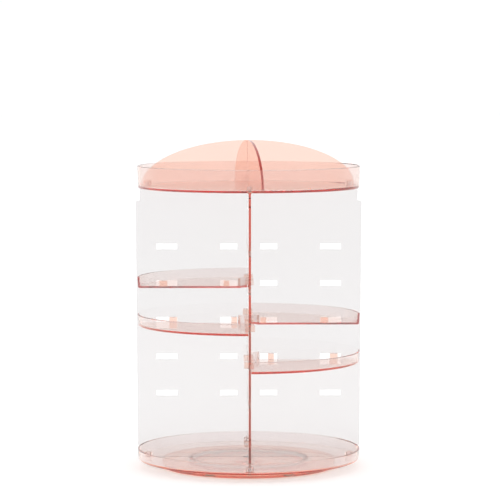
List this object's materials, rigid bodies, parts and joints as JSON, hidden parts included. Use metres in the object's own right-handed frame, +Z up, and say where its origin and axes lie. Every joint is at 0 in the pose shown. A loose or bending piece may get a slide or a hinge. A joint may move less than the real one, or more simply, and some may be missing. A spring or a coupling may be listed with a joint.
{
  "type": "rotating makeup organizer",
  "caption": "Free-standing round organizer in clear pink plastic that spins on a ball-bearing base, with crossed boards, hung quarter trays and a divided top dish.",
  "frame": {"origin": "on the table, on the turning axis", "axes": "+Z up, +X to the right and +Y to the rear, as the picture faces it"},
  "size_m": [0.2328, 0.2328, 0.3385],
  "materials": {
    "clear_plastic": "clear, polished",
    "base_plastic": "clear, polished",
    "cage_plastic": "satin moulded",
    "ball_steel": "polished",
    "plated_steel": "zinc plated",
    "foot_rubber": "matt, translucent grey"
  },
  "bodies": {
    "base": {"base_plate": "base_plastic", "foot_pad_1": "foot_rubber", "foot_pad_2": "foot_rubber", "foot_pad_3": "foot_rubber", "foot_pad_4": "foot_rubber", "foot_pad_5": "foot_rubber", "foot_pad_6": "foot_rubber"},
    "bearing": {"ball_cage": "cage_plastic", "bearing_balls": "ball_steel"},
    "carousel": {"bottom_tray": "clear_plastic", "pivot_washer": "plated_steel", "pivot_screw": "plated_steel", "board_front_rear": "clear_plastic", "board_left_right": "clear_plastic", "tray_front_left": "clear_plastic", "tray_front_right": "clear_plastic", "tray_rear_left": "clear_plastic", "tray_rear_right": "clear_plastic", "top_tray": "clear_plastic", "fin_front_rear": "clear_plastic", "fin_left_right": "clear_plastic"}
  },
  "joints": [
    {"name": "carousel_spin", "type": "hinge", "parent": "base", "child": "carousel", "pos_m": [0, 0, 0.006], "axis": [0, 0, 1], "continuous": true},
    {"name": "cage_spin", "type": "hinge", "parent": "base", "child": "bearing", "pos_m": [0, 0, 0.006], "axis": [0, 0, 1], "continuous": true}
  ],
  "couplings": [
    {"joint": "cage_spin", "follows": "carousel_spin", "ratio": 0.5}
  ]
}
